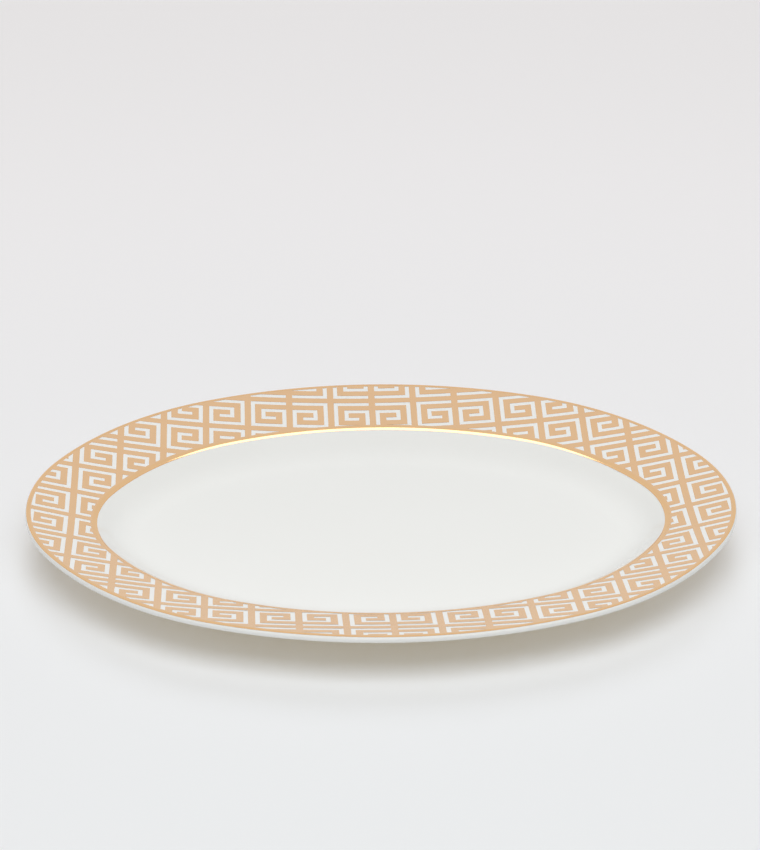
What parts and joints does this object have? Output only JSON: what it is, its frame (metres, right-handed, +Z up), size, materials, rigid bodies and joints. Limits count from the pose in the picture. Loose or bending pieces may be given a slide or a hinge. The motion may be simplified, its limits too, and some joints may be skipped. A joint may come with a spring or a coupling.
{
  "type": "serving platter",
  "caption": "Oval china serving platter with a broad sloping rim, a gold key fret left open over white glaze, gold lines at edge and verge, a soft-walled well and a ground foot ring",
  "frame": {"origin": "centre of the plane that the foot ring rests on, under the middle of the platter", "axes": "+X along the platter's length, to the viewer's right; +Y across its width, away from the viewer; +Z up out of the well"},
  "size_m": [0.36, 0.252, 0.0268],
  "materials": {
    "china": "glossy white glazed china",
    "burnished_gold": "burnished pale gold",
    "printed_gold": "printed pale gold, satin to bright"
  },
  "bodies": {
    "root": {"platter_body": "china", "edge_gilding": "burnished_gold", "verge_gilding": "burnished_gold", "fret_transfer_right_back": "printed_gold", "fret_transfer_left_back": "printed_gold", "fret_transfer_right_front": "printed_gold", "fret_transfer_left_front": "printed_gold"}
  },
  "joints": []
}
